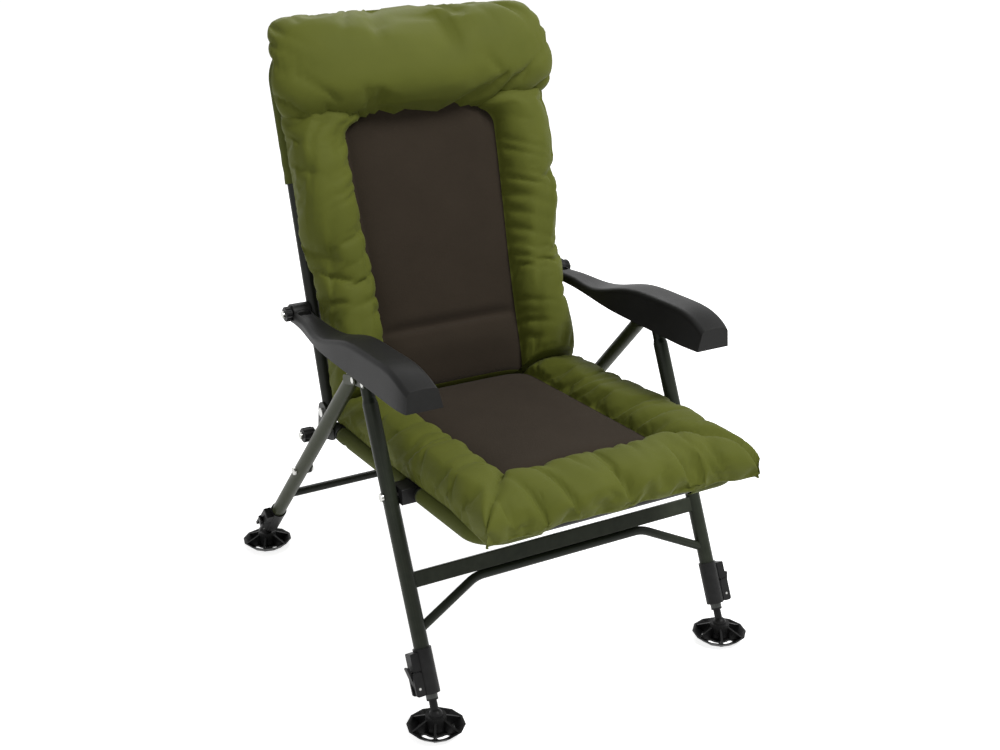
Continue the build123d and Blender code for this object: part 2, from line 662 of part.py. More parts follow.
def front_leg_pieces():
    """Front legs with their ears, bolts and crossbars."""
    leg = leg_set("front", front_top, front_up, front_ball, True)
    leg -= cross_rod(0, 2 * leg_half_spacing, seat_pivot, seat_bolt_radius + run_clearance)
    keep_pair("front_leg", leg)
    neck = rod(place(leg_half_spacing, front_ball), place(leg_half_spacing, front_top + front_up * leg_radius),
               leg_swage_radius + still_clearance)
    keep_group("front_leg_ears", ears([(leg_bolt, bolt_ear_radius), (arm_pin, arm_ear_radius)],
                                      (leg_bolt + arm_pin) * 0.5, leg_swage_radius + still_clearance,
                                      front_ear_reach, neck, [leg_bolt, arm_pin]))

    outer_face = leg_half_spacing + rear_ear_reach
    inner_face = leg_half_spacing - rear_ear_reach
    bolt = cross_rod(inner_face - leg_bolt_nut, outer_face + leg_bolt_head, leg_bolt, leg_bolt_radius)
    bolt += cross_rod(outer_face, outer_face + leg_bolt_head, leg_bolt, leg_bolt_head_radius)
    bolt += cross_rod(inner_face - leg_bolt_nut, inner_face, leg_bolt, leg_bolt_head_radius)
    keep_group("leg_bolts", [bolt])
    ear_face = leg_half_spacing + front_ear_reach
    cheek_in = leg_half_spacing - front_ear_reach - 2 * arm_bracket_thickness
    pin_start = cheek_in - leg_bolt_nut
    pin = cross_rod(pin_start, ear_face + leg_bolt_head, arm_pin, leg_bolt_radius)
    pin += cross_rod(ear_face, ear_face + leg_bolt_head, arm_pin, leg_bolt_head_radius)
    pin += cross_rod(pin_start, cheek_in - face_clearance, arm_pin, leg_bolt_radius + arm_pin_play + 1.0)
    keep_group("arm_pins", [pin])

    upper_at = front_top - front_up * upper_bar_drop
    lower_at = front_top - front_up * lower_bar_drop
    tube = rod(place(leg_half_spacing, front_ball), place(leg_half_spacing, front_top),
               leg_radius + still_clearance)
    upper_frame = Plane(place(0, upper_at), x_dir=(1, 0, 0), z_dir=front_up).location
    upper = Box(2 * leg_half_spacing, upper_bar_depth, upper_bar_height)
    upper = fillet(upper.edges().filter_by(Axis.X), 2.0)
    upper -= Box(2 * leg_half_spacing, upper_bar_depth - 2 * leg_wall, upper_bar_height - 2 * leg_wall)
    keep("front_crossbar_upper", upper_frame * upper - tube - mirrored(tube))

    bend_at = upper_at - front_up * (upper_bar_height / 2 + lower_bar_radius + still_clearance)
    points = [place(leg_half_spacing, lower_at), place(lower_bar_bend_half, bend_at),
              place(-lower_bar_bend_half, bend_at), place(-leg_half_spacing, lower_at)]
    lower = bent_tube(points, lower_bar_radius, leg_wall, lower_bar_bend_radius)
    keep("front_crossbar_lower", lower - tube - mirrored(tube))


def rear_leg_pieces():
    """Rear legs with their ears, crossbar and the hook plates that lock on the seat."""
    leg = leg_set("rear", rear_top, rear_up, rear_ball, False)
    leg -= cross_rod(0, 2 * leg_half_spacing, hook_bolt, lock_bolt_radius + still_clearance)
    keep_pair("rear_leg", leg)
    weld_spot = rear_top - rear_up * (rear_leg_drop + leg_radius)
    tube = rod(place(leg_half_spacing, rear_ball), place(leg_half_spacing, rear_top),
               leg_radius + still_clearance)
    keep_group("rear_leg_ears", ears([(leg_bolt, bolt_ear_radius), (weld_spot, bolt_ear_radius)], weld_spot,
                                     rear_ear_in, rear_ear_reach, tube, [leg_bolt]))

    bar_at = rear_top - rear_up * rear_bar_drop
    bar = cross_rod(-leg_half_spacing, leg_half_spacing, bar_at, lower_bar_radius)
    bar -= cross_rod(-leg_half_spacing, leg_half_spacing, bar_at, lower_bar_radius - leg_wall)
    keep("rear_crossbar", bar - tube - mirrored(tube))

    hook = plate([(lock_bolt, hook_tip_radius), (hook_bolt, hook_boss_radius)], hook_in, hook_out)
    mouth = Vector(0, hook_mouth_y, hook_mouth_z) * hook_mouth_length
    slot_radius = lock_bolt_radius + face_clearance
    hook -= plate([(lock_bolt, slot_radius), (lock_bolt + mouth, slot_radius + hook_mouth_flare)],
                  hook_in, hook_out)
    hook += cross_rod(hook_out, leg_half_spacing, hook_bolt, hook_boss_radius) - tube
    hook -= cross_rod(0, leg_half_spacing, hook_bolt, lock_bolt_radius + still_clearance)
    keep_pair("hook_plate", hook)

    bolt = cross_rod(hook_in - hinge_head, leg_outer_x + seat_bolt_head, hook_bolt, lock_bolt_radius)
    bolt += cross_rod(leg_outer_x, leg_outer_x + seat_bolt_head, hook_bolt, seat_bolt_head_radius)
    bolt += cross_rod(hook_in - hinge_head, hook_in, hook_bolt, seat_bolt_head_radius)
    keep_group("hook_bolts", [bolt])


def hem(start, end):
    """Fabric sleeve round a straight run of frame tube."""
    hem_in = frame_radius + sling_gap
    return rod(start, end, hem_in + sling_thickness) - rod(start, end, hem_in)


def sling_web(start, end, square):
    """Flat fabric between the frame's two sides, level with the tops of its sleeves."""
    height = frame_radius + sling_gap + sling_thickness / 2
    plane = Plane(place(0, (start + end) * 0.5) + square * height, x_dir=(1, 0, 0), z_dir=square)
    outline = Rectangle(2 * frame_half_width, (end - start).length)
    return extrude(plane * outline, sling_thickness / 3, both=True)


def sling_pieces():
    """Fabric slings stretched on the frames, each with sleeves that wrap the tubes."""
    top = hinge + back_up * back_length
    low = hinge + back_up * back_sling_low
    side = hem(place(frame_half_width, low), place(frame_half_width, top - back_up * back_bend_radius))
    across = frame_half_width - back_bend_radius
    keep("back_sling", sling_web(low, top, back_front) + side + mirrored(side)
         + hem(place(-across, top), place(across, top)))

    seat_hem_end = rail_end - seat_rear * (bracket_sleeve_length + sling_thickness)
    bend_end = seat_front + seat_rear * seat_bend_radius
    half_gap = seat_rear * saddle_cutout
    side = hem(place(frame_half_width, seat_hem_end), place(frame_half_width, seat_pivot + half_gap))
    side += hem(place(frame_half_width, seat_pivot - half_gap), place(frame_half_width, bend_end))
    side += hem(place(front_cutout_half, seat_front), place(frame_half_width - seat_bend_radius, seat_front))
    notch = Plane(place(frame_half_width, seat_pivot), x_dir=(1, 0, 0), z_dir=seat_up).location * Box(
        2 * saddle_cutout, 2 * saddle_cutout, 2 * saddle_cutout)
    notch += Pos(place(0, seat_front)) * Box(2 * front_cutout_half, 2 * saddle_cutout, 2 * saddle_cutout)
    rear_tube_hole = cross_rod(-frame_half_width, frame_half_width, rail_end - seat_rear * seat_rear_tube_inset,
                               cross_tube_radius + sling_gap)
    sling = sling_web(seat_hem_end, seat_front, seat_up) - notch - mirrored(notch)
    keep("seat_sling", sling + side + mirrored(side) - rear_tube_hole)


def pad_section(plane, half, panel_half, bolster, valley, panel):
    """Outline across a pad: drawn-in sides, two bolsters, two seams and a crowned panel."""
    crest = (half + panel_half) / 2
    side = half - pad_side_draw
    spots = ((-side, 0), (-half, bolster * 0.45), (-half + pad_side_draw, bolster * 0.82),
             (-crest, bolster), (-panel_half, valley), (0, panel),
             (panel_half, valley), (crest, bolster), (half - pad_side_draw, bolster * 0.82),
             (half, bolster * 0.45), (side, 0))
    spots = [plane.from_local_coords(Vector(x, z, 0)) for x, z in spots]
    edges = [ThreePointArc(*spots[0:3]), ThreePointArc(*spots[2:5]), ThreePointArc(*spots[4:7]),
             ThreePointArc(*spots[6:9]), ThreePointArc(*spots[8:11]), Line(spots[10], spots[0])]
    return make_face(edges)


def across_back(run):
    """Section plane across the back padding at a height along the back."""
    return Plane(hinge + back_up * run + back_front * pad_base, x_dir=(1, 0, 0), z_dir=back_up * -1)


def across_seat(run):
    """Section plane across the seat padding at a distance behind the front bar."""
    return Plane(seat_front + seat_rear * run + seat_up * pad_base, x_dir=(1, 0, 0), z_dir=seat_rear * -1)


def mitre_half(towards_back):
    """Half space on one side of the fold where the seat and back padding meet."""
    line = (back_up - seat_rear).normalized()
    across = square_to(line)
    facing = across if towards_back else across * -1
    corner = leg_bolt + Vector(0, mitre_y, mitre_z) + facing * pad_gap
    size = 4 * frame_half_width
    return Plane(corner, x_dir=(1, 0, 0), z_dir=facing).location * Box(
        size, size, size, align=(Align.CENTER, Align.CENTER, Align.MIN))


def bracket_room():
    """Room across the chair for the hinge brackets under the fold of the padding."""
    radius = frame_radius + bracket_sleeve_wall + pad_gap
    return plate([(hinge, radius), (rail_end - seat_rear * bracket_lock_radius, radius)],
                 -bracket_out - pad_gap, bracket_out + pad_gap)


def pad_pieces():
    """Padded back, seat and headrest."""
    mid_panel = (back_panel_low_half + back_panel_half) / 2
    stations = (
        (-60.0, back_pad_low_half, back_panel_low_half, back_panel_height),
        (lumbar_seam - lumbar_channel, back_pad_low_half, back_panel_low_half, back_panel_height),
        (lumbar_seam, back_pad_low_half, back_panel_low_half, back_panel_height - back_seam_depth),
        (lumbar_seam + lumbar_channel, back_pad_low_half, back_panel_low_half, back_panel_height),
        (back_arm_clear, back_pad_low_half, back_panel_low_half, back_panel_height),
        (back_arm_clear + pad_flare, back_pad_half, mid_panel, back_panel_height + 4.0),
        (back_pad_top, back_pad_half, back_panel_half, back_panel_height),
    )
    sections = [pad_section(across_back(run), half, panel_half, back_bolster_height,
                            height - back_seam_depth, height)
                for run, half, panel_half, height in stations]
    back_pad = loft(sections, ruled=True) & mitre_half(True)
    head_floor = across_back(head_low - pad_gap).location * Box(
        4 * frame_half_width, 4 * frame_half_width, 4 * frame_half_width,
        align=(Align.CENTER, Align.CENTER, Align.MAX))
    keep("back_pad", back_pad - head_floor - bracket_room())

    roll_end = seat_roll_length - seat_pad_overhang
    stations = (
        (-seat_pad_overhang, seat_pad_half - pad_side_draw, 0.45 * seat_bolster_height,
         0.45 * seat_bolster_height, 0.5 * seat_bolster_height),
        (-0.4 * seat_pad_overhang, seat_pad_half, 0.9 * seat_bolster_height,
         0.86 * seat_bolster_height, 0.9 * seat_bolster_height),
        (0.3 * roll_end, seat_pad_half, seat_bolster_height, 0.93 * seat_bolster_height,
         0.97 * seat_bolster_height),
        (roll_end, seat_pad_half, seat_bolster_height, seat_panel_height - seat_seam_depth,
         seat_panel_height - 0.8 * seat_seam_depth),
        (roll_end + lumbar_channel, seat_pad_half, seat_bolster_height,
         seat_panel_height - seat_seam_depth, seat_panel_height),
        (rail_length + seat_pad_overhang, seat_pad_rear_half, seat_bolster_height,
         seat_panel_height - seat_seam_depth, seat_panel_height),
    )
    sections = [pad_section(across_seat(run), half, seat_panel_half, bolster, valley, panel)
                for run, half, bolster, valley, panel in stations]
    seat_pad = loft(sections, ruled=True) & mitre_half(False)
    keep("seat_pad", seat_pad - bracket_room())

    rise = head_top - head_low
    stations = ((0.0, 0.96, 0.72), (0.12, 0.99, 0.9), (0.4, 1.0, 1.0), (0.72, 0.985, 0.88),
                (0.92, 0.94, 0.6), (1.0, 0.9, 0.34))
    sections = [head_section(across_back(head_low + rise * run), head_half * width, head_height * height)
                for run, width, height in stations]
    keep("headrest", loft(sections, ruled=True))


def head_section(plane, half, height):
    """Outline across the headrest: flat behind, drawn-in ends and one broad crown."""
    side = half - pad_side_draw
    shoulder = half * head_corner
    spots = ((-side, 0), (-half, height * 0.42), (-shoulder, height * 0.9), (0, height),
             (shoulder, height * 0.9), (half, height * 0.42), (side, 0))
    spots = [plane.from_local_coords(Vector(x, z, 0)) for x, z in spots]
    edges = [ThreePointArc(*spots[0:3]), ThreePointArc(*spots[2:5]), ThreePointArc(*spots[4:7]),
             Line(spots[6], spots[0])]
    return make_face(edges)


seat_frame_pieces()
hinge_pieces()
back_frame_pieces()
armrest_pieces()
front_leg_pieces()
rear_leg_pieces()
sling_pieces()
pad_pieces()

# The origin lies under the middle of the chair, from the seat pad's front to the rear feet
chair_front = pieces["seat_pad"].bounding_box().min.Y
chair_rear = pieces["rear_foot_left"].bounding_box().max.Y
chair_middle = (chair_front + chair_rear) / 2

os.makedirs("parts", exist_ok=True)
for name, piece in pieces.items():
    solids = [Pos(0, -chair_middle, 0) * solid for solid in piece.solids()]
    form = solids[0] if len(solids) == 1 else Compound(children=solids)
    export_step(form, os.path.join("parts", name + ".step"))
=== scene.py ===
import math

import bmesh
import bpy
import numpy as np
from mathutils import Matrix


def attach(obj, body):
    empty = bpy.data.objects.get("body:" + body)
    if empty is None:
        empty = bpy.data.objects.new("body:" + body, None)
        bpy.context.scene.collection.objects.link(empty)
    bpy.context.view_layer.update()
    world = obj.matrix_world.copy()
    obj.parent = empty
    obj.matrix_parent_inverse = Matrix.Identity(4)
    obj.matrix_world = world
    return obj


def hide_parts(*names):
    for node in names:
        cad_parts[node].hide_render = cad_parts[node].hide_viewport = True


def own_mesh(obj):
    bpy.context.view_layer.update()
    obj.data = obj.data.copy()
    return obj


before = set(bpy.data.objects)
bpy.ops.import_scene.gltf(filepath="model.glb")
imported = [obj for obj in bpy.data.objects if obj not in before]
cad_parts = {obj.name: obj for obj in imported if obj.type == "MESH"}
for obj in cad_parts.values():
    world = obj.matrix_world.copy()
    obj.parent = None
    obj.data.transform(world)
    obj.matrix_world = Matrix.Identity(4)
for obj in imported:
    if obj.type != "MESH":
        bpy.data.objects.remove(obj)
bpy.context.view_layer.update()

# Places and angles shared with the solids, in metres and radians in the chair's frame
BACK_LEAN = math.radians(16.9)
SEAT_TILT = math.radians(2.2)
HINGE = np.array([0.0, 0.15018, 0.362])
BACK_UP = np.array([0.0, math.sin(BACK_LEAN), math.cos(BACK_LEAN)])
BACK_FRONT = np.array([0.0, -BACK_UP[2], BACK_UP[1]])
SEAT_FRONT = np.array([0.0, -0.39682, 0.355])
SEAT_UP = np.array([0.0, math.sin(SEAT_TILT), math.cos(SEAT_TILT)])
SEAT_REAR = np.array([0.0, SEAT_UP[2], -SEAT_UP[1]])
MITRE = np.array([0.0, 0.09518, 0.404])
PAD_BASE = 0.0138
FRAME_HALF = 0.234
SLEEVE_RADIUS = 0.0128

# Sizes of the soft forms alone, in metres, and the share of a bolster's section that is its crest
FOLD_GAP = 0.0006
LOW_SIDE = 0.012
SIDE_CLOTH = 0.06
CLOTH_THICKNESS = 0.0012
CREST_SHARE = 0.74

draws = np.random.default_rng(41)


def smooth(value, low, high):
    """Smooth step of value from 0 at low to 1 at high."""
    share = np.clip((value - low) / (high - low), 0.0, 1.0)
    return share * share * (3.0 - 2.0 * share)


def on_back(x, run, height):
    """Points from distance across, distance up the back from its hinge and height in front of its frame."""
    spot = HINGE + run[..., None] * BACK_UP + height[..., None] * BACK_FRONT
    spot[..., 0] = x
    return spot


def on_seat(x, run, height):
    """Points from distance across, distance behind the front bar and height above the rails."""
    spot = SEAT_FRONT + run[..., None] * SEAT_REAR + height[..., None] * SEAT_UP
    spot[..., 0] = x
    return spot


def mitre_run(height, origin, along, square):
    """Run at which a height above a frame meets the fold plane that halves the angle of seat and back."""
    line = BACK_UP - SEAT_REAR
    line = line / np.linalg.norm(line)
    start_run = (MITRE - origin) @ along
    start_height = (MITRE - origin) @ square
    return start_run + (height - start_height) * (line @ along) / (line @ square)


def grid_faces(rows, columns, first=0, closed=False):
    """Quads of a grid of rows and columns of points, counted from first."""
    row, column = np.meshgrid(np.arange(rows - 1), np.arange(columns - (0 if closed else 1)), indexing="ij")
    after = (column + 1) % columns
    quads = np.stack([row * columns + column, row * columns + after,
                      (row + 1) * columns + after, (row + 1) * columns + column], -1)
    return quads.reshape(-1, 4) + first


def make_piece(name, points, faces, materials, face_materials=None, weld=1e-5, marks=None):
    """Mesh object at the origin from arrays of points and quads, welded, with outward normals."""
    mesh = bpy.data.meshes.new(name)
    mesh.from_pydata(points.reshape(-1, 3).tolist(), [], faces.tolist())
    for label, values in (marks or {}).items():
        values = np.asarray(values, np.float32)
        kind = "FLOAT_VECTOR" if values.ndim == 2 else "FLOAT"
        attribute = mesh.attributes.new(label, kind, "POINT")
        attribute.data.foreach_set("vector" if kind == "FLOAT_VECTOR" else "value", values.ravel())
    for material in materials:
        mesh.materials.append(material)
    if face_materials is not None:
        mesh.polygons.foreach_set("material_index", np.asarray(face_materials, np.int32))
    work = bmesh.new()
    work.from_mesh(mesh)
    bmesh.ops.remove_doubles(work, verts=work.verts, dist=weld)
    bmesh.ops.dissolve_degenerate(work, edges=work.edges, dist=1e-6)
    bmesh.ops.recalc_face_normals(work, faces=work.faces)
    work.to_mesh(mesh)
    work.free()
    mesh.polygons.foreach_set("use_smooth", np.ones(len(mesh.polygons), bool))
    piece = bpy.data.objects.new(name, mesh)
    bpy.context.scene.collection.objects.link(piece)
    return piece


def bolster_arc(share, reach, height, seam, tuck):
    """Offset from the seam and height round a bolster: a superellipse over the crest, then a drawn-in side.
    The crest takes the shares up to CREST_SHARE, from the seam to the widest point, and the side the rest."""
    over = np.clip(share / CREST_SHARE, 0.0, 1.0)
    turn = math.pi * (1.0 - over)
    wave = np.cos(turn)
    offset = 0.5 * reach * (1.0 + np.sign(wave) * np.abs(wave) ** 0.82)
    rise = seam + (height - seam) * np.abs(np.sin(turn)) ** 0.78
    under = np.clip((share - CREST_SHARE) / (1.0 - CREST_SHARE), 0.0, 1.0)
    side = share > CREST_SHARE
    offset = np.where(side, reach - tuck * under ** 1.6, offset)
    rise = np.where(side, seam * (1.0 - under), rise)
    return offset, rise


def gathers(along, count, low, high, depth, width, sharp=2.0):
    """Sum of dents at drawn places along a seam, each exp(-|distance / width| ** sharp) deep.
    Sharp is 2 for soft dents and near 1 for creases."""
    places = np.sort(draws.uniform(low, high, count))
    depths = draws.uniform(0.35, 1.0, count) * depth
    widths = draws.uniform(0.6, 1.5, count) * width
    return (depths * np.exp(-np.abs((along[..., None] - places) / widths) ** sharp)).sum(-1)


def side_gathers(left, along, **form):
    """Dents of one form drawn afresh for the left and the right side."""
    left_dents = gathers(along, **form)
    right_dents = gathers(along, **form)
    return np.where(left, left_dents, right_dents)


def pad_shell(top, bottom, panel, top_held, cloth_place):
    """Points, quads and marks of a closed pad from its top and bottom grids, with end walls in between."""
    rows, columns = top.shape[:2]
    steps = np.linspace(0.0, 1.0, 7)[:, None, None]
    front_wall = top[0] * (1 - steps) + bottom[0] * steps
    rear_wall = top[-1] * (1 - steps) + bottom[-1] * steps
    grids = [top, bottom, front_wall, rear_wall]
    points, faces, index = [], [], []
    start = 0
    for count, grid in enumerate(grids):
        points.append(grid.reshape(-1, 3))
        quads = grid_faces(grid.shape[0], columns, start)
        faces.append(quads)
        index.append(panel.ravel().astype(int) if count == 0 else np.zeros(len(quads), int))
        start += grid.shape[0] * columns
    held = np.ones(start)
    held[:rows * columns] = top_held.ravel()
    place = np.zeros((start, 3))
    place[:rows * columns] = cloth_place.reshape(-1, 3)
    points = np.concatenate(points)
    place[rows * columns:] = points[rows * columns:]
    marks = {"held": held, "cloth_place": place}
    return points, np.concatenate(faces), np.concatenate(index), marks


def puff(piece, pressure, spare, cap):
    """Swell a pad with cloth under pressure, held on panel, seams and base, each move under the cap."""
    mesh = piece.data
    count = len(mesh.vertices)
    held = np.zeros(count, np.float32)
    mesh.attributes["held"].data.foreach_get("value", held)
    group = piece.vertex_groups.new(name="held")
    group.add(np.flatnonzero(held > 0.5).tolist(), 1.0, "REPLACE")
    start = np.zeros(count * 3, np.float32)
    mesh.vertices.foreach_get("co", start)
    cloth = piece.modifiers.new("swell", "CLOTH")
    settings = cloth.settings
    settings.quality = 4
    settings.mass = 0.3
    settings.tension_stiffness = 14.0
    settings.compression_stiffness = 5.0
    settings.shear_stiffness = 4.0
    settings.bending_stiffness = 0.25
    settings.use_pressure = True
    settings.uniform_pressure_force = pressure
    settings.shrink_min = -spare
    settings.vertex_group_mass = "held"
    settings.effector_weights.gravity = 0.0
    cloth.collision_settings.use_collision = False
    frames = 20
    cloth.point_cache.frame_end = frames
    scene = bpy.context.scene
    for step in range(1, frames + 1):
        scene.frame_set(step)
    result = piece.evaluated_get(bpy.context.evaluated_depsgraph_get())
    moved = np.zeros(count * 3, np.float32)
    result.data.vertices.foreach_get("co", moved)
    shift = (moved - start).reshape(-1, 3)
    length = np.linalg.norm(shift, axis=1, keepdims=True)
    shift = shift * np.minimum(1.0, cap / np.maximum(length, 1e-9))
    piece.modifiers.remove(cloth)
    piece.vertex_groups.clear()
    mesh.vertices.foreach_set("co", (start.reshape(-1, 3) + shift).ravel())
    mesh.update()
    scene.frame_set(1)


def socket(group, name, kind, way, value=None):
    """One named input or output on a node group."""
    made = group.interface.new_socket(name=name, in_out=way, socket_type=kind)
    if value is not None:
        made.default_value = value


def link(tree, source, target):
    """Join two sockets."""
    tree.links.new(source, target)


def math_node(tree, operation, first, second=None):
    """Math node fed by sockets or numbers."""
    node = tree.nodes.new("ShaderNodeMath")
    node.operation = operation
    for slot, value in enumerate((first, second)):
        if value is None:
            continue
        if isinstance(value, (int, float)):
            node.inputs[slot].default_value = value
        else:
            link(tree, value, node.inputs[slot])
    return node.outputs[0]


def mix_colours(tree, share, first, second):
    """Colour mix fed by sockets or colours."""
    node = tree.nodes.new("ShaderNodeMix")
    node.data_type = "RGBA"
    for slot, value in ((0, share), (6, first), (7, second)):
        if isinstance(value, tuple):
            node.inputs[slot].default_value = (*value, 1.0)
        else:
            link(tree, value, node.inputs[slot])
    return node.outputs[2]


def noise(tree, place, scale, detail):
    """Noise texture on a place vector."""
    node = tree.nodes.new("ShaderNodeTexNoise")
    node.inputs["Scale"].default_value = scale
    node.inputs["Detail"].default_value = detail
    node.inputs["Roughness"].default_value = 0.55
    link(tree, place, node.inputs["Vector"])
    return node.outputs["Fac"]


def new_group(name):
    """Empty shader node group with its input and output nodes."""
    group = bpy.data.node_groups.new(name, "ShaderNodeTree")
    return group, group.nodes.new("NodeGroupInput"), group.nodes.new("NodeGroupOutput")


def woven_group():
    """Crossed threads as a height, with slubs along them, and patchy fading as a mask."""
    group, entry, leave = new_group("woven threads")
    socket(group, "Place", "NodeSocketVector", "INPUT")
    socket(group, "Thread", "NodeSocketFloat", "INPUT", 900.0)
    socket(group, "Height", "NodeSocketFloat", "OUTPUT")
    socket(group, "Fading", "NodeSocketFloat", "OUTPUT")
    parts = group.nodes.new("ShaderNodeSeparateXYZ")
    link(group, entry.outputs["Place"], parts.inputs[0])
    warp = math_node(group, "SINE", math_node(group, "MULTIPLY", parts.outputs[0], entry.outputs["Thread"]))
    weft = math_node(group, "SINE", math_node(group, "MULTIPLY", parts.outputs[1], entry.outputs["Thread"]))
    cross = math_node(group, "MULTIPLY", warp, weft)
    slub = noise(group, entry.outputs["Place"], 260.0, 2.0)
    height = math_node(group, "ADD", math_node(group, "MULTIPLY", cross, 0.35), slub)
    link(group, height, leave.inputs["Height"])
    link(group, noise(group, entry.outputs["Place"], 9.0, 4.0), leave.inputs["Fading"])
    return group


def grain_group():
    """Moulded or sprayed surface: fine pits as a height and broad variation as a mask."""
    group, entry, leave = new_group("moulded grain")
    socket(group, "Place", "NodeSocketVector", "INPUT")
    socket(group, "Grain", "NodeSocketFloat", "INPUT", 900.0)
    socket(group, "Height", "NodeSocketFloat", "OUTPUT")
    socket(group, "Variation", "NodeSocketFloat", "OUTPUT")
    fine = group.nodes.new("ShaderNodeTexNoise")
    fine.inputs["Detail"].default_value = 2.0
    link(group, entry.outputs["Place"], fine.inputs["Vector"])
    link(group, entry.outputs["Grain"], fine.inputs["Scale"])
    link(group, fine.outputs["Fac"], leave.inputs["Height"])
    link(group, noise(group, entry.outputs["Place"], 14.0, 4.0), leave.inputs["Variation"])
    return group


def wear_group():
    """Rubbed edges: a mask that is high on sharp convex edges, broken up by noise."""
    group, entry, leave = new_group("rubbed edges")
    socket(group, "Place", "NodeSocketVector", "INPUT")
    socket(group, "Mask", "NodeSocketFloat", "OUTPUT")
    geometry = group.nodes.new("ShaderNodeNewGeometry")
    ramp = group.nodes.new("ShaderNodeMapRange")
    ramp.inputs["From Min"].default_value = 0.53
    ramp.inputs["From Max"].default_value = 0.62
    link(group, geometry.outputs["Pointiness"], ramp.inputs["Value"])
    spots = noise(group, entry.outputs["Place"], 60.0, 5.0)
    link(group, math_node(group, "MULTIPLY", ramp.outputs[0], spots), leave.inputs["Mask"])
    return group


WOVEN = woven_group()
GRAIN = grain_group()
WEAR = wear_group()


def linear(colour):
    """Linear colour from an 8-bit display colour."""
    share = np.array(colour) / 255.0
    values = np.where(share <= 0.04045, share / 12.92, ((share + 0.055) / 1.055) ** 2.4)
    return tuple(values.tolist())


def start_material(name):
    """New material with its shader and the object's own place as a vector."""
    material = bpy.data.materials.new(name)
    material.use_nodes = True
    tree = material.node_tree
    shader = tree.nodes["Principled BSDF"]
    place = tree.nodes.new("ShaderNodeTexCoord").outputs["Object"]
    return material, tree, shader, place


def group_node(tree, group, place, **values):
    """Place a node group and set its values."""
    node = tree.nodes.new("ShaderNodeGroup")
    node.node_tree = group
    link(tree, place, node.inputs["Place"])
    for name, value in values.items():
        node.inputs[name].default_value = value
    return node


def bump(tree, shader, height, strength, distance):
    """Bump from a height into the shader's normal."""
    node = tree.nodes.new("ShaderNodeBump")
    node.inputs["Strength"].default_value = strength
    node.inputs["Distance"].default_value = distance
    link(tree, height, node.inputs["Height"])
    link(tree, node.outputs[0], shader.inputs["Normal"])


def cloth_material(name, light, shade, thread, roughness, sheen, on_cloth, relief):
    """Woven cloth: crossed threads, faded patches and a soft sheen."""
    material, tree, shader, place = start_material(name)
    if on_cloth:
        attribute = tree.nodes.new("ShaderNodeAttribute")
        attribute.attribute_name = "cloth_place"
        place = attribute.outputs["Vector"]
    weave = group_node(tree, WOVEN, place, Thread=thread)
    colour = mix_colours(tree, weave.outputs["Fading"], linear(shade), linear(light))
    link(tree, colour, shader.inputs["Base Color"])
    shader.inputs["Roughness"].default_value = roughness
    shader.inputs["Sheen Weight"].default_value = sheen
    shader.inputs["Sheen Roughness"].default_value = 0.45
    shader.inputs["Specular IOR Level"].default_value = 0.15
    bump(tree, shader, weave.outputs["Height"], relief, distance=0.0006)
    return material


def coated_material(name, light, shade, rubbed, grain, roughness, metallic, relief):
    """Moulded or sprayed finish: fine grain, slight variation, and rubbed edges."""
    material, tree, shader, place = start_material(name)
    skin = group_node(tree, GRAIN, place, Grain=grain)
    edges = group_node(tree, WEAR, place)
    base = mix_colours(tree, skin.outputs["Variation"], linear(shade), linear(light))
    colour = mix_colours(tree, edges.outputs["Mask"], base, linear(rubbed))
    link(tree, colour, shader.inputs["Base Color"])
    spread = math_node(tree, "MULTIPLY", skin.outputs["Variation"], 0.12)
    rough = math_node(tree, "ADD", roughness - 0.06, spread)
    link(tree, rough, shader.inputs["Roughness"])
    shader.inputs["Metallic"].default_value = metallic
    shader.inputs["Specular IOR Level"].default_value = 0.5 if metallic else 0.14
    bump(tree, shader, skin.outputs["Height"], relief, distance=0.0004)
    return material


canvas = cloth_material("green canvas", (99, 104, 38), (82, 88, 28),
                        thread=3900.0, roughness=0.66, sheen=0.03, on_cloth=True, relief=0.35)
fleece = cloth_material("brown fleece", (59, 51, 42), (47, 40, 32),
                        thread=2400.0, roughness=0.95, sheen=0.03, on_cloth=True, relief=0.7)
sling_cloth = cloth_material("sling canvas", (86, 92, 36), (70, 76, 27),
                             thread=3900.0, roughness=0.7, sheen=0.05, on_cloth=False, relief=0.35)
frame_paint = coated_material("black frame paint", (34, 36, 32), (24, 26, 23), (58, 60, 54),
                              grain=700.0, roughness=0.34, metallic=0.0, relief=0.12)
leg_paint = coated_material("dark green leg paint", (36, 41, 32), (27, 31, 24), (60, 64, 53),
                            grain=700.0, roughness=0.34, metallic=0.0, relief=0.12)
rear_leg_paint = coated_material("olive leg paint", (47, 52, 30), (38, 43, 23), (58, 62, 42),
                                 grain=700.0, roughness=0.4, metallic=0.0, relief=0.12)
arm_plastic = coated_material("armrest plastic", (30, 30, 29), (23, 23, 23), (42, 42, 41),
                              grain=1500.0, roughness=0.46, metallic=0.0, relief=0.25)
black_plastic = coated_material("black plastic", (22, 22, 22), (15, 15, 15), (44, 44, 44),
                                grain=1500.0, roughness=0.42, metallic=0.0, relief=0.2)
zinc = coated_material("bright zinc", (186, 186, 182), (160, 160, 156), (205, 205, 202),
                       grain=400.0, roughness=0.28, metallic=1.0, relief=0.08)
drawn_steel = coated_material("inner leg steel", (60, 62, 60), (44, 46, 44), (96, 98, 96),
                              grain=500.0, roughness=0.36, metallic=0.6, relief=0.1)

